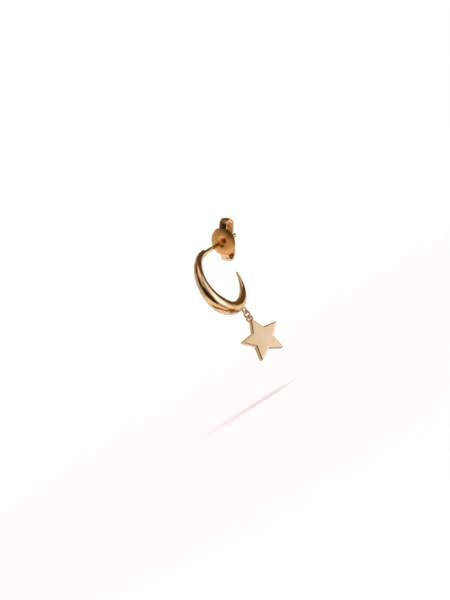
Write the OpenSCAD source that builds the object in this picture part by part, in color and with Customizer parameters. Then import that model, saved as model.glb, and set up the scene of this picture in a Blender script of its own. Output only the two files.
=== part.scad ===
// Crescent hoop earring with a butterfly back and a star drop, in the pose in which it is worn.
// Millimetres. The origin is the root of the post, where the front of the ear lobe rests.
// +Y runs along the post to the back, +Z is up, and the hoop lies in the plane X = 0.

/* [Hoop] */
// Radius of the line through the middle of the hoop's tube
hoop_r = 5.5; // [4.5:0.1:7]
// Angle that the hoop covers, from the post round the front to the free tip
hoop_sweep = 266; // [250:1:270]
// Radius of the tube at its blunt end, by the post
hoop_end_r = 0.56; // [0.5:0.01:0.7]
// Radius of the tube at its thickest, at the lower front
hoop_belly_r = 1.37; // [1.1:0.01:1.5]
// Radius of the tube at its free tip
hoop_tip_r = 0.14; // [0.1:0.01:0.2]

/* [Post] */
// Diameter of the post
post_d = 0.7; // [0.6:0.05:0.8]
// Length of the post from its root to its rounded end
post_l = 11.5; // [10:0.1:12.5]
// Depth of the groove near the post's end
groove_depth = 0.09; // [0.05:0.01:0.12]
// Distance from the middle of the groove to the post's end
groove_back = 1.05; // [0.8:0.05:1.4]

/* [Butterfly back] */
// Distance from the post's root to the plate
plate_y = 7.2; // [5:0.1:7.5]
// Radius of the plate along the scrolls
plate_r = 2.6; // [2.2:0.05:3]
// Half of the plate's width across the scrolls
plate_half_w = 2.35; // [2:0.05:2.6]
// Height of the plate's dome towards the ear
dome_h = 0.3; // [0.1:0.05:0.4]
// Thickness of the sheet
sheet_t = 0.28; // [0.2:0.02:0.3]
// Width of the scroll bands
band_w = 1.5; // [1.2:0.1:1.8]
// Radius of the outer bend of a scroll, to the middle of the sheet
scroll_outer_r = 1.25; // [1.1:0.05:1.3]
// Radius of the inner bend of a scroll, to the middle of the sheet
scroll_inner_r = 0.95; // [0.8:0.05:1]
// Turn of the scrolls about the post, from upright
back_turn = 33; // [-90:1:90]
// Gap between the post and what slides on it
post_gap = 0.04; // [0.02:0.01:0.08]

/* [Eye and jump ring] */
// Place of the eye round the hoop, in degrees below the back
eye_angle = 79; // [70:1:95]
// Radius of the eye's hole
eye_hole_r = 0.38; // [0.37:0.01:0.45]
// Radius of the eye's wire
eye_wire_r = 0.18; // [0.16:0.01:0.19]
// Depth that the eye is soldered into the hoop
eye_sink = 0.22; // [0.15:0.01:0.25]
// Radius of the jump ring's hole
ring_hole_r = 0.52; // [0.5:0.01:0.6]
// Radius of the jump ring's wire
ring_wire_r = 0.19; // [0.17:0.01:0.19]
// Turn of the jump ring in the eye, from square to the hoop
ring_turn = 16; // [0:1:20]
// Gap left where one ring hangs in another
hang_gap = 0.05; // [0.04:0.005:0.06]

/* [Star] */
// Radius to the points of the star
star_r = 4; // [3.9:0.05:4.1]
// Radius to the notches, as a share of the radius to the points
star_notch = 0.51; // [0.45:0.01:0.56]
// Thickness of the star
star_t = 1.4; // [1:0.05:1.5]
// Radius that rounds the points
star_point_r = 0.12; // [0.08:0.01:0.2]
// Radius of the hole in the star's loop
star_hole_r = 0.37; // [0.37:0.01:0.45]
// Radius of the wire of the star's loop
star_wire_r = 0.18; // [0.16:0.01:0.19]
// Distance from the middle of the star to the middle of its loop
star_loop_up = 4.1; // [4:0.05:4.2]
// Turn of the star's face from straight ahead towards the hoop's right side
star_turn = 58; // [50:1:90]

/* [Hidden] */
$fn = 64;
GOLD = "#d9a95b";
SATIN_GOLD = "#d69a4c";
TAN_GOLD = "#cfa77a";

// Sections of the hoop's tube. Columns: share of the sweep, share of the way from end or tip to belly
SHARE = 0;
SWELL = 1;
SECTIONS = [
    [0, 0], [0.12, 0.13], [0.3, 0.53], [0.5, 1],
    [0.7, 0.68], [0.88, 0.29], [1, 0]
];
BELLY_ROW = 3;
TUBE_RINGS = 54;
TUBE_SIDES = 24;
CAP_RINGS = 4;
END_DOME = 0.22;

post_r = post_d / 2;
hoop_start = 90;
groove_half = 0.28;
bore_r = post_r + post_gap;

// Smooth curve through the table: a cubic between rows, level at the belly
function step(i, column) = SECTIONS[i + 1][column] - SECTIONS[i][column];
function secant(i) = step(i, SWELL) / step(i, SHARE);
function slope(i) =
    i == BELLY_ROW ? 0
    : i == 0 ? secant(0) / 2
    : i == len(SECTIONS) - 1 ? secant(i - 1)
    : (secant(i - 1) + secant(i)) / 2;
function row_below(s, i = 0) =
    i >= len(SECTIONS) - 2 || s <= SECTIONS[i + 1][SHARE] ? i : row_below(s, i + 1);
function hermite(u, a, b, ma, mb) =
    (2 * u ^ 3 - 3 * u ^ 2 + 1) * a + (u ^ 3 - 2 * u ^ 2 + u) * ma
    + (3 * u ^ 2 - 2 * u ^ 3) * b + (u ^ 3 - u ^ 2) * mb;
function swell(s) =
    let(i = row_below(s), w = step(i, SHARE), u = (s - SECTIONS[i][SHARE]) / w)
    hermite(u, SECTIONS[i][SWELL], SECTIONS[i + 1][SWELL], slope(i) * w, slope(i + 1) * w);
function tube_r(s) =
    let(thin = s < SECTIONS[BELLY_ROW][SHARE] ? hoop_end_r : hoop_tip_r)
    thin + (hoop_belly_r - thin) * swell(s);

// A point on the hoop's tube: angle round the hoop from the back, radius of the tube, angle round the tube
function on_tube(angle, r, side) =
    let(reach = hoop_r + r * cos(side))
    [r * sin(side), reach * cos(angle), reach * sin(angle) - hoop_r];

// Rings of the tube with their angle and radius: a low dome, the tapered sweep, and a round tip
function ring_angle(along) = along / hoop_r * 180 / PI;
TUBE = concat(
    [for (i = [0:CAP_RINGS - 1]) let(a = 90 * (1 - i / CAP_RINGS))
        [hoop_start - ring_angle(END_DOME * sin(a)), hoop_end_r * max(cos(a), 0.5)]],
    [for (i = [0:TUBE_RINGS]) [hoop_start + hoop_sweep * i / TUBE_RINGS, tube_r(i / TUBE_RINGS)]],
    [for (i = [1:CAP_RINGS - 1]) let(a = 90 * i / CAP_RINGS)
        [hoop_start + hoop_sweep + ring_angle(hoop_tip_r * sin(a)), hoop_tip_r * cos(a)]]
);

module tube() {
    last = len(TUBE) - 1;
    points = [for (ring = TUBE) for (j = [0:TUBE_SIDES - 1])
        on_tube(ring[0], ring[1], 360 * j / TUBE_SIDES)];
    walls = [for (i = [0:last - 1]) for (j = [0:TUBE_SIDES - 1])
        let(k = (j + 1) % TUBE_SIDES, a = i * TUBE_SIDES, b = a + TUBE_SIDES)
        each [[a + j, a + k, b + k], [a + j, b + k, b + j]]];
    start_cap = [for (j = [TUBE_SIDES - 1:-1:0]) j];
    end_cap = [for (j = [0:TUBE_SIDES - 1]) last * TUBE_SIDES + j];
    polyhedron(points, concat([start_cap, end_cap], walls));
}

// A ring of round wire about the Z axis
module wire_ring(hole_r, wire_r) {
    rotate_extrude() translate([hole_r + wire_r, 0]) circle(wire_r);
}

// The post along +Z, with the groove that keeps the back on, and a round end
groove_arc_r = (groove_half ^ 2 + groove_depth ^ 2) / (2 * groove_depth);
module post() {
    difference() {
        union() {
            translate([0, 0, -hoop_end_r]) cylinder(h = post_l - post_r + hoop_end_r, r = post_r);
            translate([0, 0, post_l - post_r]) sphere(post_r);
        }
        translate([0, 0, post_l - groove_back])
            rotate_extrude() translate([post_r - groove_depth + groove_arc_r, 0]) circle(groove_arc_r);
    }
}

// Where the eye, the jump ring and the star hang
eye_r = eye_hole_r + eye_wire_r;
ring_r = ring_hole_r + ring_wire_r;
star_loop_r = star_hole_r + star_wire_r;
eye_share = (360 - eye_angle - hoop_start) / hoop_sweep;
eye_reach = hoop_r + tube_r(eye_share) + eye_r + eye_wire_r - eye_sink;
eye_y = eye_reach * cos(eye_angle);
eye_z = -hoop_r - eye_reach * sin(eye_angle);
eye_foot_z = eye_z - eye_r;
ring_z = eye_foot_z + eye_wire_r + hang_gap + ring_wire_r - ring_r;
ring_foot_z = ring_z - ring_r;
star_loop_z = ring_foot_z + ring_wire_r + hang_gap + star_wire_r - star_loop_r;
star_z = star_loop_z - star_loop_up;

module hoop() {
    color(GOLD) union() {
        tube();
        rotate([-90, 0, 0]) post();
        translate([0, eye_y, eye_z]) rotate([0, 90, 0]) wire_ring(eye_hole_r, eye_wire_r);
    }
}

// The plate's profile about the post: a dome towards the ear with a dimple at the hole
LIP_R = 1.2;
DIMPLE_STEPS = 5;
DOME_STEPS = 7;
dimple_depth = 0.42;
function sheet_y(r) =
    r < LIP_R
    ? -dome_h + dimple_depth * ((LIP_R - r) / (LIP_R - bore_r)) ^ 2
    : -dome_h * (1 - ((r - LIP_R) / (plate_r - LIP_R)) ^ 2);
PLATE_RADII = concat(
    [for (i = [0:DIMPLE_STEPS - 1]) bore_r + (LIP_R - bore_r) * i / DIMPLE_STEPS],
    [for (i = [0:DOME_STEPS]) LIP_R + (plate_r - LIP_R) * i / DOME_STEPS]
);
side_arc_r = 3.2;

module plate() {
    front = [for (r = PLATE_RADII) [r, sheet_y(r) - sheet_t / 2]];
    back = [for (i = [len(PLATE_RADII) - 1:-1:0])
        [PLATE_RADII[i], sheet_y(PLATE_RADII[i]) + sheet_t / 2]];
    intersection() {
        rotate_extrude() polygon(concat(front, back));
        side_trim(1);
        side_trim(-1);
    }
}

// A wide cylinder whose wall trims one long side of the plate
module side_trim(side) {
    translate([0, side * (plate_half_w - side_arc_r), 0])
        cylinder(h = 4 * plate_r, r = side_arc_r, center = true);
}

// The bent strip of one scroll, drawn with X away from the post, Y along it and Z across the strip
strip_start = 2.1;
outer_centre = [plate_r - 0.05, scroll_outer_r];
outer_end = 100;
inner_end = 235;
outward = [cos(outer_end), sin(outer_end)];
run_start = outer_centre + scroll_outer_r * outward;
inner_x = bore_r + sheet_t / 2 + scroll_inner_r;
run_l = (run_start.x - scroll_inner_r * outward.x - inner_x) / outward.y;
inner_centre = run_start + run_l * [-outward.y, outward.x] - scroll_inner_r * outward;

module bend(centre, r, from, to) {
    translate([centre.x, centre.y, 0]) rotate([0, 0, from])
        rotate_extrude(angle = to - from) translate([r, 0]) square([sheet_t, band_w], center = true);
}

module scroll() {
    translate([strip_start, -sheet_t / 2, -band_w / 2]) cube([outer_centre.x - strip_start, sheet_t, band_w]);
    bend(outer_centre, scroll_outer_r, -90, outer_end);
    translate([run_start.x, run_start.y, -band_w / 2]) rotate([0, 0, outer_end + 90])
        translate([0, -sheet_t / 2, 0]) cube([run_l, sheet_t, band_w]);
    bend(inner_centre, scroll_inner_r, outer_end, inner_end);
}

module butterfly_back() {
    color(SATIN_GOLD) translate([0, plate_y, 0]) rotate([0, back_turn - 90, 0]) {
        rotate([-90, 0, 0]) plate();
        scroll();
        mirror([1, 0, 0]) scroll();
    }
}

module jump_ring() {
    color(GOLD) translate([0, eye_y, ring_z]) rotate([90, 0, -ring_turn])
        wire_ring(ring_hole_r, ring_wire_r);
}

// The star's outline, with a small arc on each point
POINT_ARC = [-1:0.5:1];
point_half_angle = atan(star_notch * sin(36) / (1 - star_notch * cos(36)));
STAR_OUTLINE = [for (k = [0:4]) let(a = 90 + 72 * k, c = star_r - star_point_r) each concat(
    [for (f = POINT_ARC) let(b = a + f * (90 - point_half_angle))
        [c * cos(a) + star_point_r * cos(b), c * sin(a) + star_point_r * sin(b)]],
    [star_notch * star_r * [cos(a + 36), sin(a + 36)]]
)];

module star_pendant() {
    color(TAN_GOLD) translate([0, eye_y, star_z]) rotate([0, 0, star_turn]) rotate([90, 0, 0]) {
        difference() {
            linear_extrude(height = star_t, center = true) polygon(STAR_OUTLINE);
            translate([0, star_loop_up, 0])
                cylinder(h = 2 * star_t, r = star_hole_r + star_wire_r / 2, center = true);
        }
        translate([0, star_loop_up, 0]) wire_ring(star_hole_r, star_wire_r);
    }
}

hoop();
butterfly_back();
jump_ring();
star_pendant();
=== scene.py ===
"""Looks of a crescent hoop earring with a butterfly back and a star drop, built round its CAD frame.

Lengths in the classes are millimetres in the row frame: the post's root is the origin, +Y runs along the
post to the back, +Z is up, and the hoop lies in the plane X = 0. Meshes are written in metres, and angles in
the classes are degrees.
"""

from __future__ import annotations

import logging
import math
from dataclasses import dataclass
from enum import Enum
from typing import Any

import bmesh
import bpy
import numpy as np
from mathutils import Matrix, Vector

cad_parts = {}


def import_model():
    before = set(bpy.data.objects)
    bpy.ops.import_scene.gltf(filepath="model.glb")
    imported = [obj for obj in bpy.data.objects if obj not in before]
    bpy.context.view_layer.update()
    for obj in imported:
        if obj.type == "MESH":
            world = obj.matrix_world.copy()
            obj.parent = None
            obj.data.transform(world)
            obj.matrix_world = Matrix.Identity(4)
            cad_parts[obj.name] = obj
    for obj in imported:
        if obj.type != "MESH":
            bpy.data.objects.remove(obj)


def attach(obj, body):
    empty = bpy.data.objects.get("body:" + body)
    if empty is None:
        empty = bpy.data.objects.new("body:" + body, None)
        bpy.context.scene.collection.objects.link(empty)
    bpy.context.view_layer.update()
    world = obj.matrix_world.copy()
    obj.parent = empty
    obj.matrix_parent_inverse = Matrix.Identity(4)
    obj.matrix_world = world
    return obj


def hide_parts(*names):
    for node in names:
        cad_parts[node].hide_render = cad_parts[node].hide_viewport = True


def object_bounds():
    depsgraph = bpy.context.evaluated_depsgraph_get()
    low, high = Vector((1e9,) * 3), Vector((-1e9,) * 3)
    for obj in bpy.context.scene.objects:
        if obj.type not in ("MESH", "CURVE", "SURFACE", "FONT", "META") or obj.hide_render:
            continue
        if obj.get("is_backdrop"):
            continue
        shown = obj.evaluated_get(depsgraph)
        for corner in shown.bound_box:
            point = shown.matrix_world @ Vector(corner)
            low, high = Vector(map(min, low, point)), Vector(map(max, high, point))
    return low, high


LOG = logging.getLogger("earring")
MM = 0.001
SHARP_ANGLE = math.radians(38)
# Points nearer than this are one point: it clears the slivers that a cut leaves
WELD = 0.0001 * MM


# Meshes


@dataclass
class Shape:
    """Points in millimetres and the faces that join them."""

    points: np.ndarray
    faces: list[tuple[int, ...]]

    def moved(self, turn: Matrix, by: Vector) -> "Shape":
        """The shape turned about the origin, then shifted."""
        turned = self.points @ np.array(turn.to_3x3()).T
        return Shape(turned + np.array(by), self.faces)


def round_angles(count: int) -> np.ndarray:
    """Even angles once round a circle."""
    return np.linspace(0, 2 * math.pi, count, endpoint=False)


def circle(angle: np.ndarray | float) -> np.ndarray:
    """Points of the unit circle, one row for each angle."""
    return np.column_stack([np.cos(angle), np.sin(angle)])


def smooth_step(x: np.ndarray | float) -> Any:
    """The usual smooth step from 0 to 1, level at both ends."""
    u = np.clip(x, 0, 1)
    return u * u * (3 - 2 * u)


def hermite(u: np.ndarray, start: Any, end: Any, leave: Any, arrive: Any) -> np.ndarray:
    """A cubic between two values, with a given slope at each.

    Args:
        u: share of the way from the first value to the second.
        start: the value at 0.
        end: the value at 1.
        leave: the slope at 0.
        arrive: the slope at 1.

    Returns:
        The cubic's values at u.
    """
    level = (2 * u**3 - 3 * u**2 + 1) * start + (3 * u**2 - 2 * u**3) * end
    return level + (u**3 - 2 * u**2 + u) * leave + (u**3 - u**2) * arrive


def tube_faces(rows: int, columns: int, loop: bool, capped: bool) -> list[tuple[int, ...]]:
    """Faces of a tube whose rows are closed rings of points.

    Args:
        rows: number of rings.
        columns: points in each ring.
        loop: True if the last ring joins the first.
        capped: True if both ends are closed by a flat face.

    Returns:
        The faces, as tuples of point numbers.
    """
    faces: list[tuple[int, ...]] = []
    for i in range(rows if loop else rows - 1):
        a, b = i * columns, ((i + 1) % rows) * columns
        for j in range(columns):
            k = (j + 1) % columns
            faces.append((a + j, b + j, b + k, a + k))
    if capped:
        last = (rows - 1) * columns
        faces.append(tuple(range(columns)))
        faces.append(tuple(last + j for j in reversed(range(columns))))
    return faces


def lathe(profile: np.ndarray, columns: int, loop: bool = False) -> Shape:
    """A body turned about the Z axis.

    Args:
        profile: rows of radius and height, from one end to the other, or round a closed section.
        columns: points round the axis.
        loop: True if the profile is a closed section, as a ring's is.

    Returns:
        The turned shape, closed at both ends unless it is a loop.
    """
    turn = round_angles(columns)
    radius = profile[:, :1]
    height = np.broadcast_to(profile[:, 1:], (len(profile), columns))
    grid = np.stack([radius * np.cos(turn), radius * np.sin(turn), height], axis=2)
    return Shape(grid.reshape(-1, 3), tube_faces(len(profile), columns, loop, capped=not loop))


def wire_ring(hole_r: float, wire_r: float, columns: int = 80, sides: int = 28) -> Shape:
    """A closed ring of round wire about the Z axis.

    Args:
        hole_r: radius of the hole.
        wire_r: radius of the wire.
        columns: points round the axis.
        sides: points round the wire.

    Returns:
        The ring.
    """
    section = np.array([hole_r + wire_r, 0]) + wire_r * circle(round_angles(sides))
    return lathe(section, columns, loop=True)


def to_object(name: str, shape: Shape) -> bpy.types.Object:
    """Makes a Blender object of a shape.

    Args:
        name: the name of the object and its mesh.
        shape: the shape, in millimetres.

    Returns:
        The object, in metres, in the scene.
    """
    mesh = bpy.data.meshes.new(name)
    mesh.from_pydata([tuple(p) for p in shape.points * MM], [], shape.faces)
    mesh.validate()
    obj = bpy.data.objects.new(name, mesh)
    bpy.context.scene.collection.objects.link(obj)
    return obj


def settle(obj: bpy.types.Object) -> bpy.types.Object:
    """Applies the object's modifiers, joins its doubled points, and shades it smooth between sharp edges.

    Args:
        obj: the object that is changed.

    Returns:
        The same object.
    """
    graph = bpy.context.evaluated_depsgraph_get()
    made = bpy.data.meshes.new_from_object(obj.evaluated_get(graph))
    obj.modifiers.clear()
    old, obj.data = obj.data, made
    bpy.data.meshes.remove(old)
    skin = bmesh.new()
    skin.from_mesh(made)
    bmesh.ops.remove_doubles(skin, verts=skin.verts, dist=WELD)
    bmesh.ops.dissolve_degenerate(skin, edges=skin.edges, dist=WELD)
    skin.to_mesh(made)
    skin.free()
    made.shade_smooth()
    made.set_sharp_from_angle(angle=SHARP_ANGLE)
    return obj


class Cut(Enum):
    """How one body is put together with another."""

    ADD = "UNION"
    TAKE = "DIFFERENCE"


def carve(base: bpy.types.Object, shape: Shape, cut: Cut) -> None:
    """Adds a closed shape to a closed object, or takes it away, and leaves one skin.

    Args:
        base: the object that is changed.
        shape: the closed shape that is added or taken away.
        cut: which of the two is done.
    """
    tool = to_object("tool", shape)
    step = base.modifiers.new("carve", "BOOLEAN")
    step.operation, step.solver, step.object = cut.value, "EXACT", tool
    settle(base)
    bpy.data.objects.remove(tool)


# Materials


def linear(code: str) -> tuple[float, float, float, float]:
    """Turns a colour into the form that nodes and lamps take.

    Args:
        code: the colour as sRGB hex, such as e8b96a.

    Returns:
        The colour as linear RGBA.
    """
    parts = [int(code[i : i + 2], 16) / 255 for i in (0, 2, 4)]
    r, g, b = (((p + 0.055) / 1.055) ** 2.4 if p > 0.04045 else p / 12.92 for p in parts)
    return r, g, b, 1.0


def lit(code: str, strength: float) -> tuple[float, ...]:
    """A colour of light, sRGB hex, at a strength."""
    return tuple(c * strength for c in linear(code))


def add_node(
    tree: bpy.types.NodeTree,
    kind: str,
    inputs: dict[str | int, Any] | None = None,
    **settings: Any,
) -> bpy.types.Node:
    """Adds a node with its settings, values and links.

    Args:
        tree: the node tree that it joins.
        kind: Blender's name for the kind of node.
        inputs: what each input takes: a value, or an output socket that is linked to it.
        settings: the node's own properties.

    Returns:
        The new node.
    """
    made = tree.nodes.new(kind)
    for name, value in settings.items():
        setattr(made, name, value)
    for key, value in (inputs or {}).items():
        if isinstance(value, bpy.types.NodeSocket):
            tree.links.new(value, made.inputs[key])
        else:
            made.inputs[key].default_value = value
    return made


class Ramp(Enum):
    """How a mapped value runs from its low end to its high end."""

    STRAIGHT = "LINEAR"
    SMOOTH = "SMOOTHSTEP"


def map_range(
    tree: bpy.types.NodeTree,
    value: bpy.types.NodeSocket,
    source: tuple[float, float],
    target: tuple[float, float] = (0.0, 1.0),
    ramp: Ramp = Ramp.SMOOTH,
) -> bpy.types.NodeSocket:
    """Maps one range of a value to another, held at both ends.

    Args:
        tree: the node tree.
        value: the value.
        source: where the value's range starts and ends.
        target: what those two become.
        ramp: how it runs between them.

    Returns:
        The mapped value.
    """
    inputs = {"Value": value, 1: source[0], 2: source[1], 3: target[0], 4: target[1]}
    return add_node(tree, "ShaderNodeMapRange", inputs, interpolation_type=ramp.value).outputs[0]


def blend(tree: bpy.types.NodeTree, share: Any, first: Any, second: Any) -> bpy.types.NodeSocket:
    """A mix of two colours: the first where the share is 0, the second where it is 1."""
    inputs = {"Factor": share, 6: first, 7: second}
    return add_node(tree, "ShaderNodeMix", inputs, data_type="RGBA").outputs[2]


def noise(
    tree: bpy.types.NodeTree,
    place: bpy.types.NodeSocket,
    size_mm: float,
    detail: float,
    rough: float = 0.5,
) -> bpy.types.NodeSocket:
    """Noise whose patches have a real size.

    Args:
        tree: the node tree.
        place: a point's place, in metres.
        size_mm: size of its largest patches.
        detail: how many finer layers it has.
        rough: how strong the finer layers are.

    Returns:
        The noise, between 0 and 1.
    """
    inputs = {"Vector": place, "Scale": 1 / (size_mm * MM), "Detail": detail, "Roughness": rough}
    return add_node(tree, "ShaderNodeTexNoise", inputs).outputs["Fac"]


def bump(
    tree: bpy.types.NodeTree,
    height: bpy.types.NodeSocket,
    depth_mm: float,
    strength: float = 1.0,
    under: bpy.types.NodeSocket | None = None,
) -> bpy.types.NodeSocket:
    """Tilts the shading as a relief of a real depth does.

    Args:
        tree: the node tree.
        height: the relief, between 0 and 1.
        depth_mm: its depth.
        strength: share of its tilt that is used.
        under: the normal that it adds to, if there is one.

    Returns:
        The tilted normal.
    """
    inputs: dict[str | int, Any] = {"Height": height, "Strength": strength, "Distance": depth_mm * MM}
    if under is not None:
        inputs["Normal"] = under
    return add_node(tree, "ShaderNodeBump", inputs).outputs["Normal"]


def new_material(name: str) -> tuple[bpy.types.Material, bpy.types.NodeSocket]:
    """Starts an empty node material.

    Args:
        name: what the material is called.

    Returns:
        The material, and the socket that gives a point's place on its object, in metres.
    """
    made = bpy.data.materials.new(name)
    made.use_nodes = True
    made.node_tree.nodes.clear()
    return made, add_node(made.node_tree, "ShaderNodeTexCoord").outputs["Object"]


def surface(tree: bpy.types.NodeTree, inputs: dict[str | int, Any]) -> None:
    """Ends a material with its shader."""
    shader = add_node(tree, "ShaderNodeBsdfPrincipled", inputs)
    add_node(tree, "ShaderNodeOutputMaterial", {"Surface": shader.outputs["BSDF"]})


@dataclass(frozen=True)
class GoldFinish:
    """Gold plate over silver, with the marks of how its surface was made.

    The plate's colour drifts a little between two golds, its gloss drifts with handling, a low swell of the
    surface bends the reflections, and fine marks of the last polish break them up.
    """

    name: str
    light: str
    deep: str
    rough_low: float
    rough_high: float
    swell_mm: float
    swell_depth_mm: float
    mark_mm: float
    mark_depth_mm: float
    tone_mm: float = 2.2
    tone_detail: float = 3.0
    # How much finer the drift of the gloss is than that of the colour
    gloss_finer: float = 2.3
    gloss_detail: float = 5.0
    # The part of the noise that the gloss spans
    gloss_span: tuple[float, float] = (0.3, 0.7)
    swell_detail: float = 1.0
    mark_detail: float = 4.0
    mark_rough: float = 0.65

    def material(self) -> bpy.types.Material:
        """Makes the finish.

        Returns:
            The finish as a node material.
        """
        made, place = new_material(self.name)
        tree = made.node_tree
        drift = noise(tree, place, self.tone_mm, self.tone_detail)
        handled = noise(tree, place, self.tone_mm / self.gloss_finer, self.gloss_detail)
        swell = noise(tree, place, self.swell_mm, self.swell_detail)
        marks = noise(tree, place, self.mark_mm, self.mark_detail, self.mark_rough)
        gloss = (self.rough_low, self.rough_high)
        low = bump(tree, swell, self.swell_depth_mm)
        inputs = {
            "Base Color": blend(tree, drift, linear(self.light), linear(self.deep)),
            "Metallic": 1.0,
            "Roughness": map_range(tree, handled, self.gloss_span, gloss, Ramp.STRAIGHT),
            "Normal": bump(tree, marks, self.mark_depth_mm, under=low),
        }
        surface(tree, inputs)
        return made


# Gold vermeil, cast and tumble-polished: a mirror with soft drifts of gloss, so that bands of light run
# round it
POLISHED = GoldFinish(
    name="gold_vermeil_tumble_polished",
    light="f9d8a6",
    deep="f0c88f",
    rough_low=0.05,
    rough_high=0.1,
    swell_mm=1.4,
    swell_depth_mm=0.006,
    mark_mm=0.05,
    mark_depth_mm=0.00012,
)
# Gold-plated sheet, blanked and pressed: warmer and satin, with the faint marks of the press tool
PRESSED = GoldFinish(
    name="gold_plated_sheet_pressed",
    light="ffcf86",
    deep="ffb25c",
    rough_low=0.3,
    rough_high=0.4,
    swell_mm=0.9,
    swell_depth_mm=0.012,
    mark_mm=0.04,
    mark_depth_mm=0.0006,
)
# The same sheet, burnished where it was rolled over its former
BURNISHED = GoldFinish(
    name="gold_plated_sheet_burnished",
    light="fbdcac",
    deep="f2ca92",
    rough_low=0.08,
    rough_high=0.16,
    swell_mm=0.9,
    swell_depth_mm=0.006,
    mark_mm=0.04,
    mark_depth_mm=0.0002,
)
# Gold vermeil wire, drawn through a die and barrelled: bright, with marks too fine to see singly
DRAWN = GoldFinish(
    name="gold_vermeil_wire_drawn",
    light="f9d8a6",
    deep="ecc084",
    rough_low=0.08,
    rough_high=0.16,
    swell_mm=0.6,
    swell_depth_mm=0.003,
    mark_mm=0.03,
    mark_depth_mm=0.0002,
)
# Gold vermeil, lapped flat: an even, slightly hazy mirror that shows one soft tone across the star
LAPPED = GoldFinish(
    name="gold_vermeil_lapped_flat",
    light="f2c992",
    deep="eac086",
    rough_low=0.28,
    rough_high=0.33,
    swell_mm=3.0,
    swell_depth_mm=0.004,
    mark_mm=0.035,
    mark_depth_mm=0.0002,
)


@dataclass(frozen=True)
class CardFinish:
    """Matt painted card, rolled smooth: pale and a little warm near the earring, and paper white far off."""

    name: str = "painted_card_matt"
    near_tone: str = "f5f0ef"
    far_tone: str = "ffffff"
    near_m: float = 0.05
    far_m: float = 0.9
    rough: float = 0.9
    tooth_mm: float = 1.5
    tooth_detail: float = 2.0
    tooth_depth_mm: float = 0.02
    tooth_strength: float = 0.3

    def material(self) -> bpy.types.Material:
        """Makes the finish.

        Returns:
            The finish as a node material.
        """
        made, place = new_material(self.name)
        tree = made.node_tree
        reach = add_node(tree, "ShaderNodeVectorMath", {0: place}, operation="LENGTH")
        far = map_range(tree, reach.outputs["Value"], (self.near_m, self.far_m))
        tooth = noise(tree, place, self.tooth_mm, self.tooth_detail)
        inputs = {
            "Base Color": blend(tree, far, linear(self.near_tone), linear(self.far_tone)),
            "Roughness": self.rough,
            "Normal": bump(tree, tooth, self.tooth_depth_mm, self.tooth_strength),
        }
        surface(tree, inputs)
        return made


def dress(obj: bpy.types.Object, finishes: list[bpy.types.Material], node: str) -> None:
    """Gives a piece its finishes and shows it in place of a CAD node, on the body of the same name.

    Args:
        obj: the piece, in its place.
        finishes: its materials, in the order of its faces' numbers.
        node: the CAD node and body.
    """
    numbers = [face.material_index for face in obj.data.polygons]
    obj.data.materials.clear()
    for finish in finishes:
        obj.data.materials.append(finish)
    obj.data.polygons.foreach_set("material_index", numbers)
    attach(obj, node)
    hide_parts(node)
    LOG.info("%s: %d faces on %s", obj.name, len(obj.data.polygons), node)


# Pieces


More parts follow.
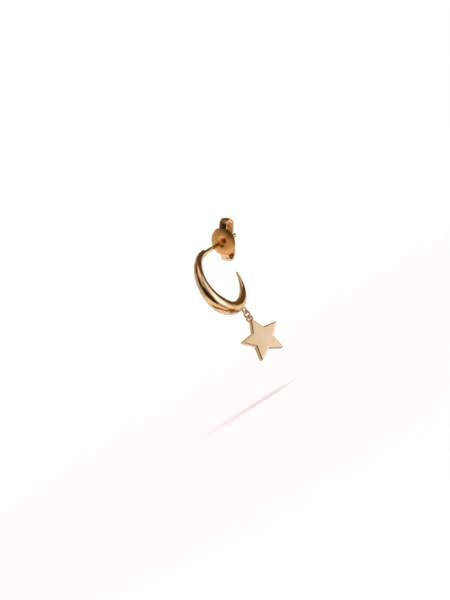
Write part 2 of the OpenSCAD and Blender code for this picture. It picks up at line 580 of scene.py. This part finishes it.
@dataclass
class Hoop:
    """The tapered hoop with its post and its eye, which are soldered into one."""

    radius: float = 5.5
    start: float = 90.0
    sweep: float = 266.0
    end_r: float = 0.56
    belly_r: float = 1.37
    tip_r: float = 0.14
    end_dome: float = 0.22
    post_r: float = 0.35
    post_l: float = 11.5
    groove_depth: float = 0.09
    groove_half: float = 0.28
    groove_back: float = 1.05
    flare_l: float = 0.3
    flare_h: float = 0.16
    # Where the flare starts, as a share of the dome's height
    flare_from: float = 0.4
    eye_angle: float = 79.0
    eye_hole_r: float = 0.38
    eye_wire_r: float = 0.18
    eye_sink: float = 0.22
    # Half sizes of the mound of solder: along the eye's wire, across the hoop's tube, and up from it
    mound: tuple[float, float, float] = (0.3, 0.5, 0.2)
    ripple: float = 0.004
    # Waves of the hand polish. Columns: share of the ripple, waves round the hoop and the tube, and phase
    waves: tuple[tuple[float, float, float, float], ...] = ((1.0, 9, 2, 0.0), (0.7, 17, -1, 1.3))
    # Columns: share of the sweep, share of the way from the end or the tip to the belly
    sections: tuple[tuple[float, float], ...] = (
        (0, 0), (0.12, 0.13), (0.3, 0.53), (0.5, 1), (0.7, 0.68), (0.88, 0.29), (1, 0),
    )  # fmt: skip
    # Share of its radius that the flat end of a dome keeps
    flat_end: float = 0.05
    rings: int = 260
    sides: int = 96
    dome_rows: int = 9
    flare_rows: int = 9
    groove_rows: int = 17
    post_end_rows: int = 13
    # Share of a quarter turn that the post's round end covers
    post_end_turn: float = 0.98
    post_sides: int = 64
    mound_rows: int = 20
    mound_sides: int = 40
    # Angle in radians that keeps the mound's poles open
    mound_pole: float = 0.02

    def swell(self, share: np.ndarray) -> np.ndarray:
        """Smooth curve through the table of sections, level at the belly.

        Args:
            share: share of the sweep.

        Returns:
            Share of the way to the belly's radius.
        """
        x, y = (np.array(c, float) for c in zip(*self.sections))
        secant = np.diff(y) / np.diff(x)
        slope = np.concatenate([[secant[0] / 2], (secant[:-1] + secant[1:]) / 2, [secant[-1]]])
        slope[int(np.argmax(y))] = 0
        i = np.clip(np.searchsorted(x, share, side="right") - 1, 0, len(x) - 2)
        w = x[i + 1] - x[i]
        return hermite((share - x[i]) / w, y[i], y[i + 1], w * slope[i], w * slope[i + 1])

    def tube_r(self, share: np.ndarray) -> np.ndarray:
        """Radius of the tube.

        Args:
            share: share of the sweep.

        Returns:
            The radius there.
        """
        belly_at = max(self.sections, key=lambda row: row[1])[0]
        thin = np.where(share < belly_at, self.end_r, self.tip_r)
        return thin + (self.belly_r - thin) * self.swell(share)

    def tube(self) -> Shape:
        """Makes the tapered tube, with a low dome at the post and a round tip.

        Returns:
            The closed tube.
        """
        quarter = np.linspace(0, math.pi / 2, self.dome_rows)
        degrees = 180 / math.pi / self.radius
        share = np.linspace(0, 1, self.rings)
        end, tip = quarter[:0:-1], quarter[1:]
        angle = np.concatenate([
            self.start - self.end_dome * np.sin(end) * degrees,
            self.start + self.sweep * share,
            self.start + self.sweep + self.tip_r * np.sin(tip) * degrees,
        ])
        size = np.concatenate([
            self.end_r * np.maximum(np.cos(end), self.flat_end),
            self.tube_r(share),
            self.tip_r * np.maximum(np.cos(tip), self.flat_end),
        ])
        t = np.radians(angle)[:, None]
        side = round_angles(self.sides)[None, :]
        hand = sum(part * np.sin(m * t + n * side + phase) for part, m, n, phase in self.waves)
        r = size[:, None] * (1 + self.ripple * hand)
        reach = self.radius + r * np.cos(side)
        grid = np.stack([r * np.sin(side), reach * np.cos(t), reach * np.sin(t) - self.radius], axis=2)
        return Shape(grid.reshape(-1, 3), tube_faces(len(angle), self.sides, loop=False, capped=True))

    def post(self) -> Shape:
        """Makes the post: a small solder flare at its root, a groove near its end, and a round end.

        Returns:
            The closed post, along +Y.
        """
        flare = np.linspace(0, math.pi / 2, self.flare_rows)
        arc_r = (self.groove_half**2 + self.groove_depth**2) / (2 * self.groove_depth)
        half = math.asin(self.groove_half / arc_r)
        groove = np.linspace(-half, half, self.groove_rows)
        end = np.linspace(0, math.pi / 2 * self.post_end_turn, self.post_end_rows)
        dome_at = self.post_l - self.post_r
        profile = np.vstack([
            [[self.post_r, -self.end_r]],
            np.column_stack([
                self.post_r + self.flare_h * (1 - np.sin(flare)),
                self.end_dome * self.flare_from + self.flare_l * (1 - np.cos(flare)),
            ]),
            np.column_stack([
                self.post_r - self.groove_depth + arc_r * (1 - np.cos(groove)),
                self.post_l - self.groove_back + arc_r * np.sin(groove),
            ]),
            np.array([0, dome_at]) + self.post_r * circle(end),
        ])
        return lathe(profile, self.post_sides).moved(Matrix.Rotation(-math.pi / 2, 4, "X"), Vector())

    @property
    def eye_middle(self) -> Vector:
        """The middle of the eye's hole.

        Returns:
            The point, in the row frame.
        """
        share = (360 - self.eye_angle - self.start) / self.sweep
        tube = float(self.tube_r(np.array(share)))
        reach = self.radius + tube + self.eye_hole_r + 2 * self.eye_wire_r - self.eye_sink
        a = math.radians(self.eye_angle)
        return Vector((0, reach * math.cos(a), -self.radius - reach * math.sin(a)))

    def eye(self) -> Shape:
        """The ring of wire that is soldered under the hoop."""
        ring = wire_ring(self.eye_hole_r, self.eye_wire_r)
        return ring.moved(Matrix.Rotation(math.pi / 2, 4, "Y"), self.eye_middle)

    def solder(self) -> Shape:
        """Makes the low mound of solder between the eye and the hoop.

        Returns:
            The closed mound.
        """
        a = np.linspace(self.mound_pole, math.pi - self.mound_pole, self.mound_rows)
        ball = lathe(np.column_stack([np.sin(a), -np.cos(a)]), self.mound_sides)
        ball.points = ball.points * np.array(self.mound)
        lean = math.radians(self.eye_angle)
        tilt = Matrix.Rotation(math.pi / 2 - lean, 4, "X")
        inward = Vector((0, -math.cos(lean), math.sin(lean)))
        return ball.moved(tilt, self.eye_middle + inward * (self.eye_hole_r + self.eye_wire_r))

    def build(self) -> bpy.types.Object:
        """Joins the soldered parts.

        Returns:
            The whole piece as one skin.
        """
        obj = to_object("hoop_and_post", self.tube())
        for part in (self.post(), self.solder(), self.eye()):
            carve(obj, part, Cut.ADD)
        return obj


@dataclass
class ButterflyBack:
    """The pressed plate and its two scrolls, bent from one sheet."""

    place: float = 7.2
    plate_r: float = 2.6
    half_w: float = 2.35
    dome_h: float = 0.3
    dimple_depth: float = 0.42
    lip_r: float = 1.2
    sheet_t: float = 0.28
    band_w: float = 1.5
    # How far the edges of a band bow in from its middle
    band_crown: float = 0.07
    # Length over which the corners of a scroll's free end are rounded
    corner: float = 0.28
    # Angle over which the plate's oval runs out into a neck
    nick: float = 8.0
    # Slope at which a band meets its outer curl
    lean: float = 35.0
    outer_r: float = 1.25
    # How far the middle of the outer curl lies inside the plate's rim
    outer_in: float = 0.05
    inner_r: float = 0.95
    outer_end: float = 100.0
    inner_end: float = 235.0
    turn: float = 33.0
    bore_r: float = 0.39
    neck_at: float = 2.35
    edge_r: float = 0.07
    edge_steps: int = 3
    # Edges that bend more than this are softened
    edge_bend: float = 50.0
    across: int = 10
    side_columns: int = 40
    plate_rings: int = 22
    # Rows of a scroll: its lead, its outer curl, its straight run and its inner curl
    scroll_rows: tuple[int, int, int, int] = (18, 44, 12, 36)

    def sheet_y(self, r: np.ndarray) -> np.ndarray:
        """Height of the sheet's middle over the rim.

        Args:
            r: distance from the post.

        Returns:
            The height there.
        """
        dimple = -self.dome_h + self.dimple_depth * ((self.lip_r - r) / (self.lip_r - self.bore_r)) ** 2
        dome = -self.dome_h * (1 - ((r - self.lip_r) / (self.plate_r - self.lip_r)) ** 2)
        return np.where(r < self.lip_r, dimple, dome)

    def outline_r(self, angle: np.ndarray) -> np.ndarray:
        """Radius of the plate's edge: an oval, nicked where each band leaves it.

        Args:
            angle: angle round the post, in radians.

        Returns:
            The radius there.
        """
        fold = np.abs(np.arctan2(np.sin(angle), np.cos(angle)))
        fold = np.minimum(fold, math.pi - fold)
        neck = math.atan(self.band_w / 2 / self.neck_at)
        oval = 1 / np.hypot(np.cos(fold) / self.plate_r, np.sin(fold) / self.half_w)
        straight = self.neck_at / np.cos(np.minimum(fold, neck))
        return straight + (oval - straight) * smooth_step((fold - neck) / math.radians(self.nick))

    def steps_across(self) -> np.ndarray:
        """Even steps across a band, from edge to edge."""
        return np.linspace(-self.band_w / 2, self.band_w / 2, self.across + 1)

    def columns(self) -> np.ndarray:
        """Spreads the plate's points round the post, with even steps across each neck.

        Returns:
            Their angles, in radians: one neck, one side, the other neck, the other side.
        """
        neck = np.arctan2(self.steps_across(), self.neck_at)
        side = np.linspace(neck[-1], math.pi + neck[0], self.side_columns + 2)[1:-1]
        return np.concatenate([neck, side, neck + math.pi, side + math.pi])

    def path(self) -> tuple[np.ndarray, np.ndarray]:
        """Draws one scroll in its own plane, from the neck to the free end.

        Returns:
            Points as rows of distance from the post and distance along it, and how far each has left the
            plate.
        """
        lead_rows, outer_rows, run_rows, inner_rows = self.scroll_rows
        lean, outer_end, inner_end = (math.radians(x) for x in (self.lean, self.outer_end, self.inner_end))
        start = np.array([self.neck_at, float(self.sheet_y(np.array(self.neck_at)))])
        rise = 2 * self.dome_h * (self.neck_at - self.lip_r) / (self.plate_r - self.lip_r) ** 2
        centre = np.array([self.plate_r - self.outer_in, self.outer_r])
        leave = centre + self.outer_r * np.array([math.sin(lean), -math.cos(lean)])
        span = float(np.linalg.norm(leave - start))
        u = np.linspace(0, 1, lead_rows)[:, None]
        way_off = span * np.array([1, rise]) / math.hypot(1, rise)
        lead = hermite(u, start, leave, way_off, span * circle(lean))
        bend = np.linspace(lean - math.pi / 2, outer_end, outer_rows)[1:]
        over = centre + self.outer_r * circle(bend)
        way = np.array([-math.sin(outer_end), math.cos(outer_end)])
        out = np.array([math.cos(outer_end), math.sin(outer_end)])
        inner_x = self.bore_r + self.sheet_t / 2 + self.inner_r
        run_l = (over[-1][0] - self.inner_r * out[0] - inner_x) / -way[0]
        run = over[-1] + np.linspace(0, run_l, run_rows)[1:, None] * way
        curl = np.linspace(outer_end, inner_end, inner_rows)[1:]
        inside = run[-1] - self.inner_r * out + self.inner_r * circle(curl)
        line = np.vstack([lead, over, run, inside])
        left = np.concatenate([smooth_step(u[:, 0]), np.ones(len(line) - len(u))])
        return line, left

    def sheet(self) -> Shape:
        """Makes the middle of the sheet: the plate in rings and the two scrolls in rows.

        Returns:
            The open sheet, without thickness.
        """
        angle = self.columns()
        share = np.linspace(0, 1, self.plate_rings)[:, None]
        r = self.bore_r + (self.outline_r(angle)[None, :] - self.bore_r) * share
        plate = np.stack([r * np.cos(angle), self.sheet_y(r), r * np.sin(angle)], axis=2).reshape(-1, 3)
        count = len(angle)
        faces = [
            (a + j, a + (j + 1) % count, b + (j + 1) % count, b + j)
            for a, b in ((i * count, (i + 1) * count) for i in range(self.plate_rings - 1))
            for j in range(count)
        ]
        shape = Shape(plate, faces)
        for turn in (1, -1):
            self.add_scroll(shape, turn)
        return shape

    def add_scroll(self, shape: Shape, turn: int) -> None:
        """Adds the rows of one scroll to the sheet, from the plate's edge on.

        Args:
            shape: the sheet so far, whose last ring of plate points holds both necks.
            turn: 1 for the scroll at angle 0, -1 for the one opposite.
        """
        line, left = self.path()
        across = self.steps_across()
        rim = self.sheet_y(np.hypot(self.neck_at, across)) - self.sheet_y(np.array(self.neck_at))
        step = np.concatenate([[0], np.cumsum(np.linalg.norm(np.diff(line, axis=0), axis=1))])
        past = np.clip((step - (step[-1] - self.corner)) / self.corner, 0, 1)
        narrow = 1 - self.corner / (self.band_w / 2) * (1 - np.sqrt(1 - past**2))
        way = np.gradient(line, axis=0)
        way = way / np.linalg.norm(way, axis=1)[:, None]
        bow = self.band_crown * (across / across[-1]) ** 2
        rows = [
            np.column_stack([
                (p[0] - gone * bow * w[1]) * turn,
                p[1] + (1 - gone) * rim + gone * bow * w[0],
                across * n * turn,
            ])
            for p, w, gone, n in zip(line[1:], way[1:], left[1:], narrow[1:])
        ]
        wide = len(across)
        neck_first = 0 if turn == 1 else wide + self.side_columns
        previous = (self.plate_rings - 1) * len(self.columns()) + neck_first + np.arange(wide)
        first = len(shape.points)
        shape.points = np.vstack([shape.points, *rows])
        for k in range(len(rows)):
            here = first + k * wide + np.arange(wide)
            for j in range(self.across):
                shape.faces.append((previous[j], previous[j + 1], here[j + 1], here[j]))
            previous = here

    def build(self) -> bpy.types.Object:
        """Gives the bent sheet its thickness, its softened edges and its place on the post.

        Returns:
            The piece, whose rolled bands have material number 1.
        """
        middle = self.sheet()
        spin = Matrix.Rotation(math.radians(self.turn - 90), 4, "Y")
        obj = to_object("butterfly_sheet", middle.moved(spin, Vector((0, self.place, 0))))
        thick = obj.modifiers.new("thickness", "SOLIDIFY")
        thick.thickness, thick.offset, thick.use_even_offset = self.sheet_t * MM, 0.0, True
        soft = obj.modifiers.new("edges", "BEVEL")
        soft.width, soft.segments, soft.limit_method = self.edge_r * MM, self.edge_steps, "ANGLE"
        soft.angle_limit = math.radians(self.edge_bend)
        settle(obj)
        along = spin.to_3x3() @ Vector((1, 0, 0))
        for face in obj.data.polygons:
            past_neck = abs(face.center.dot(along)) > self.neck_at * MM
            face.material_index = int(past_neck or face.center.y > (self.place + self.sheet_t) * MM)
        return obj


@dataclass
class JumpRing:
    """The ring of wire that joins the eye and the star, with its closed seam."""

    hole_r: float = 0.52
    wire_r: float = 0.19
    hang_gap: float = 0.05
    turn: float = 16.0
    seam: float = 0.02
    # Share of its radius that a cut end keeps, and how fast the wire regains the rest, per radian
    cut_end: float = 0.88
    cut_rise: float = 6.0
    rings: int = 120
    sides: int = 32

    @property
    def middle_r(self) -> float:
        """Radius of the line through the middle of the wire."""
        return self.hole_r + self.wire_r

    def middle(self, hoop: Hoop) -> Vector:
        """The middle of the ring, hanging in the hoop's eye."""
        foot = hoop.eye_middle - Vector((0, 0, hoop.eye_hole_r + hoop.eye_wire_r))
        return foot + Vector((0, 0, hoop.eye_wire_r + self.hang_gap + self.wire_r - self.middle_r))

    def build(self, hoop: Hoop) -> bpy.types.Object:
        """Makes a ring bent shut, whose two cut ends nearly meet at the side.

        Args:
            hoop: the hoop whose eye it hangs in.

        Returns:
            The piece.
        """
        half = self.seam / self.middle_r / 2
        along = np.linspace(half, 2 * math.pi - half, self.rings)[:, None]
        side = round_angles(self.sides)[None, :]
        from_cut = np.minimum(along - half, 2 * math.pi - half - along)
        wire = np.minimum(1, self.cut_end + self.cut_rise * from_cut) * self.wire_r
        reach = self.middle_r + wire * np.cos(side)
        grid = np.stack([reach * np.cos(along), reach * np.sin(along), wire * np.sin(side)], axis=2)
        shape = Shape(grid.reshape(-1, 3), tube_faces(self.rings, self.sides, loop=False, capped=True))
        stand = Matrix.Rotation(math.radians(-self.turn), 4, "Z") @ Matrix.Rotation(math.pi / 2, 4, "X")
        return settle(to_object("jump_ring_wire", shape.moved(stand, self.middle(hoop))))


@dataclass
class Star:
    """The thick flat star and the loop on its top point."""

    radius: float = 4.0
    # Share of the radius at which the sides would meet without the arcs
    notch: float = 0.49
    thick: float = 1.4
    point_r: float = 0.15
    # Least radius of a point's arc on a line inside the edge
    point_least: float = 0.01
    notch_r: float = 0.06
    edge_r: float = 0.24
    crown: float = 0.06
    hole_r: float = 0.37
    wire_r: float = 0.18
    loop_up: float = 4.1
    turn: float = 58.0
    points: int = 5
    point_steps: int = 13
    notch_steps: int = 9
    # Share of its size at which the innermost row of a face lies
    face_from: float = 0.02
    face_rows: int = 15
    edge_rows: int = 11
    drill_sides: int = 96
    # Faces that lean less than this from the star's plane are lapped
    lapped_lean: float = 3.0

    def outline(self, inset: float) -> np.ndarray:
        """The star's edge, or a line inside it, with small arcs at its points and notches.

        Args:
            inset: distance of the line from the edge.

        Returns:
            Points round the line, always as many.
        """
        half = math.pi / self.points
        low = self.notch * self.radius
        tip_half = math.atan2(low * math.sin(half), self.radius - low * math.cos(half))
        tip_span = math.pi / 2 - tip_half
        notch_span = tip_span - half
        tip_r = max(self.point_r - inset, self.point_least)
        tip_at = self.radius - self.point_r - (inset + tip_r - self.point_r) / math.sin(tip_half)
        bulge = self.point_r * (1 - math.sin(tip_half))
        dip_at = low + (bulge + self.notch_r) / math.cos(notch_span)
        dip_r = self.notch_r + inset
        line: list[np.ndarray] = []
        for k in range(self.points):
            up = math.pi / 2 + 2 * half * k
            between = up + half
            tip = np.linspace(up - tip_span, up + tip_span, self.point_steps)
            dip = np.linspace(between + notch_span, between - notch_span, self.notch_steps)
            line.append(tip_at * circle(up) + tip_r * circle(tip))
            line.append(dip_at * circle(between) - dip_r * circle(dip))
        return np.vstack(line)

    def face_z(self, at: np.ndarray) -> np.ndarray:
        """Height of the face over the middle of the plate: nearly flat, a hair lower towards the points."""
        return self.thick / 2 - self.crown * (at**2).sum(axis=1) / self.radius**2

    def plate(self) -> Shape:
        """Makes the plate: a near-flat face, a rolled edge and straight sides, front and back alike.

        Returns:
            The closed plate, lying in the plane Z = 0.
        """
        face = self.outline(self.edge_r)
        rows: list[np.ndarray] = []
        for scale in np.linspace(self.face_from, 1, self.face_rows + 1)[:-1]:
            rows.append(np.column_stack([face * scale, self.face_z(face * scale)]))
        for a in np.linspace(0, math.pi / 2, self.edge_rows):
            ring = self.outline(self.edge_r * (1 - math.sin(a)))
            rows.append(np.column_stack([ring, self.face_z(face) - self.edge_r * (1 - math.cos(a))]))
        back = [row * np.array([1, 1, -1]) for row in reversed(rows)]
        grid = np.vstack(rows + back)
        return Shape(grid, tube_faces(len(rows) * 2, len(face), loop=False, capped=True))

    def build(self, hoop: Hoop, ring: JumpRing) -> bpy.types.Object:
        """Makes the plate and its loop as one casting, hanging in the jump ring.

        Args:
            hoop: the hoop that the ring hangs in.
            ring: the jump ring.

        Returns:
            The piece, whose lapped faces have material number 1.
        """
        at_loop = Vector((0, self.loop_up, 0))
        obj = to_object("star_plate_and_loop", self.plate())
        drill_r = self.hole_r + self.wire_r / 2
        drill = lathe(np.array([[drill_r, -self.thick], [drill_r, self.thick]]), self.drill_sides)
        carve(obj, drill.moved(Matrix(), at_loop), Cut.TAKE)
        carve(obj, wire_ring(self.hole_r, self.wire_r).moved(Matrix(), at_loop), Cut.ADD)
        for face in obj.data.polygons:
            on_face = abs(face.center.z) > (self.thick / 2 - self.edge_r / 2) * MM
            flat = abs(face.normal.z) > math.cos(math.radians(self.lapped_lean))
            face.material_index = int(on_face and flat)
        foot = ring.middle(hoop) - Vector((0, 0, ring.middle_r))
        loop_r = self.hole_r + self.wire_r
        drop = ring.wire_r + ring.hang_gap + self.wire_r - loop_r - self.loop_up
        stand = Matrix.Rotation(math.radians(self.turn), 4, "Z") @ Matrix.Rotation(math.pi / 2, 4, "X")
        obj.data.transform(Matrix.Translation((foot + Vector((0, 0, drop))) * MM) @ stand)
        return obj


# Studio


@dataclass
class Camera:
    """A long lens that looks as the photograph does: level, from the front right, and rolled."""

    azimuth: float = 34.6
    elevation: float = 0.4
    roll: float = 31.7
    lens: float = 150.0
    sensor: float = 36.0
    near_m: float = 0.01
    far_m: float = 20.0
    picture: tuple[int, int] = (450, 600)
    pixels_per_mm: float = 5.7
    # Where the middle of the hoop falls in the picture, in pixels from its upper left corner
    hoop_middle_px: tuple[float, float] = (220.6, 279.7)

    def axes(self) -> tuple[Vector, Vector, Vector]:
        """Works out how the camera is turned.

        Returns:
            The picture's right, the picture's up, and the way back to the camera.
        """
        a, e, r = (math.radians(x) for x in (self.azimuth, self.elevation, self.roll))
        back = Vector((math.sin(a) * math.cos(e), -math.cos(a) * math.cos(e), math.sin(e)))
        level = Vector((math.cos(a), math.sin(a), 0))
        upright = back.cross(level)
        right = level * math.cos(r) - upright * math.sin(r)
        up = level * math.sin(r) + upright * math.cos(r)
        return right, up, back

    def build(self, target: Vector) -> None:
        """Places the camera so that the target falls where it does in the photograph.

        Args:
            target: the middle of the hoop, in metres.
        """
        data = bpy.data.cameras.new("camera")
        data.lens, data.sensor_width = self.lens, self.sensor
        data.clip_start, data.clip_end = self.near_m, self.far_m
        pixels_per_m = self.pixels_per_mm / MM
        distance = self.picture[1] * self.lens / (self.sensor * pixels_per_m)
        right, up, back = self.axes()
        off_x = self.hoop_middle_px[0] - self.picture[0] / 2
        off_y = self.picture[1] / 2 - self.hoop_middle_px[1]
        at = target + back * distance - (right * off_x + up * off_y) / pixels_per_m
        camera = bpy.data.objects.new("camera", data)
        turn = Matrix((right, up, back)).transposed().to_4x4()
        camera.matrix_world = Matrix.Translation(at) @ turn
        bpy.context.scene.collection.objects.link(camera)
        bpy.context.scene.camera = camera


@dataclass(frozen=True)
class Panel:
    """One tone of the room: a soft-edged round patch, placed as the camera sees it.

    The tilt is the angle from the way to the camera, and the clock is the angle in the picture from its right
    towards its top. Both are in degrees, as are the radius of the even middle and that of the faded edge.
    """

    tone: str
    strength: float
    tilt: float
    clock: float
    middle: float
    edge: float


@dataclass
class Studio:
    """A pale floor, a room with a window and with pale and dark parts, and a high soft sun."""

    floor_drop: float = 6.0
    floor_r: float = 20000.0
    floor_hole_r: float = 0.001
    floor_columns: int = 96
    wall: str = "ffffff"
    sun_tone: str = "f6f8fc"
    sun_strength: float = 3.3
    sun_spread: float = 50.0
    sun_way: tuple[float, float, float] = (0.35, 0.25, 1.0)
    base_tone: str = "fff6ee"
    base_strength: float = 0.36
    panels: tuple[Panel, ...] = (
        # The room's far left wall
        Panel("fff2e6", 0.58, 122, 185, 30, 66),
        # The lit lower part of the room
        Panel("fff3ee", 0.95, 98, 270, 44, 66),
        # The dim ceiling behind, and the corner left of it
        Panel("c8976a", 0.22, 112, 74, 34, 52),
        Panel("c8a06a", 0.2, 84, 140, 10, 30),
        # The pale strip of wall on the right, near and far
        Panel("fff8f2", 0.98, 88, 0, 10, 26),
        Panel("fff6ee", 0.9, 128, 0, 12, 28),
        # The pale wall over the camera
        Panel("fff4f0", 0.96, 54, 91, 8, 25),
        # The pale curtain on the right, and the daylight of the window in its middle
        Panel("ecf2ff", 1.14, 66, 20, 19, 38),
        Panel("c4d2ff", 2.35, 60, 11, 12, 27),
        # A warm half-dark streak across the lower part, from the left round to the right
        Panel("c08a50", 0.42, 93, 250, 3, 15),
        Panel("c08a50", 0.38, 84, 263, 3, 14),
        Panel("c08a50", 0.38, 80, 277, 3, 14),
        Panel("c08a50", 0.42, 82, 291, 2, 13),
        Panel("c08a50", 0.4, 90, 306, 3, 14),
        Panel("c08a50", 0.4, 102, 328, 9, 22),
        # The dark side of the room round the camera, below it and to its left
        Panel("b08a68", 0.09, 16, 262, 22, 32),
        Panel("a8835c", 0.09, 32, 304, 8, 18),
        Panel("a8835c", 0.08, 34, 206, 14, 26),
        Panel("a8835c", 0.08, 50, 168, 15, 27),
    )

    def aim(self, panel: Panel, axes: tuple[Vector, Vector, Vector]) -> Vector:
        """Finds a panel in the room.

        Args:
            panel: the panel.
            axes: the picture's right, its up, and the way back to the camera.

        Returns:
            The direction of the panel's middle.
        """
        right, up, back = axes
        t, c = math.radians(panel.tilt), math.radians(panel.clock)
        return (right * math.cos(c) + up * math.sin(c)) * math.sin(t) + back * math.cos(t)

    def floor(self, lowest: float) -> None:
        """Lays a wide pale floor just under the star, which the gold doesn't mirror.

        Args:
            lowest: height of the earring's lowest point, in metres.
        """
        disc = lathe(np.array([[self.floor_hole_r, 0.0], [self.floor_r, 0.0]]), self.floor_columns)
        disc.faces = [f for f in disc.faces if len(f) == 4]
        obj = to_object("floor", disc)
        obj.data.transform(Matrix.Translation((0, 0, lowest - self.floor_drop * MM)))
        obj.data.materials.append(CardFinish().material())
        obj.visible_glossy = False
        obj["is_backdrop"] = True

    def room(self, axes: tuple[Vector, Vector, Vector]) -> None:
        """Paints the room round the earring, with a plain white wall where the camera sees it.

        Args:
            axes: the picture's right, its up, and the way back to the camera.
        """
        world = bpy.data.worlds.new("room")
        bpy.context.scene.world = world
        world.use_nodes = True
        tree = world.node_tree
        tree.nodes.clear()
        way = add_node(tree, "ShaderNodeTexCoord").outputs["Generated"]
        glow: Any = lit(self.base_tone, self.base_strength)
        for panel in self.panels:
            inputs = {0: way, 1: tuple(self.aim(panel, axes))}
            facing = add_node(tree, "ShaderNodeVectorMath", inputs, operation="DOT_PRODUCT")
            reach = (math.cos(math.radians(panel.edge)), math.cos(math.radians(panel.middle)))
            share = map_range(tree, facing.outputs["Value"], reach)
            glow = blend(tree, share, glow, lit(panel.tone, panel.strength))
        seen = add_node(tree, "ShaderNodeLightPath").outputs["Is Camera Ray"]
        colour = blend(tree, seen, glow, linear(self.wall))
        shader = add_node(tree, "ShaderNodeBackground", {"Color": colour, "Strength": 1.0})
        add_node(tree, "ShaderNodeOutputWorld", {"Surface": shader.outputs[0]})

    def sun(self) -> None:
        """Hangs a high soft sun that lights the floor and casts the shadow; the gold doesn't mirror it."""
        data = bpy.data.lights.new("sun", "SUN")
        data.energy, data.angle = self.sun_strength, math.radians(self.sun_spread)
        data.color = linear(self.sun_tone)[:3]
        obj = bpy.data.objects.new("sun", data)
        obj.rotation_mode = "QUATERNION"
        obj.rotation_quaternion = Vector(self.sun_way).to_track_quat("Z", "Y")
        obj.visible_glossy = False
        bpy.context.scene.collection.objects.link(obj)


def main() -> None:
    """Builds the earring round its frame, then the studio."""
    logging.basicConfig(level=logging.INFO, format="%(name)s %(message)s")
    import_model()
    cad_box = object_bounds()
    hoop, back, ring, star = Hoop(), ButterflyBack(), JumpRing(), Star()
    polished = POLISHED.material()
    dress(hoop.build(), [polished], "hoop")
    sheet = [PRESSED.material(), BURNISHED.material()]
    dress(back.build(), sheet, "butterfly_back")
    dress(ring.build(hoop), [DRAWN.material()], "jump_ring")
    dress(star.build(hoop, ring), [polished, LAPPED.material()], "star_pendant")

    bpy.context.scene.view_settings.view_transform = "Standard"
    camera = Camera()
    camera.build(Vector((0, 0, -hoop.radius * MM)))
    studio = Studio()
    studio.floor(cad_box[0].z)
    studio.room(camera.axes())
    studio.sun()


if __name__ == "__main__":
    main()
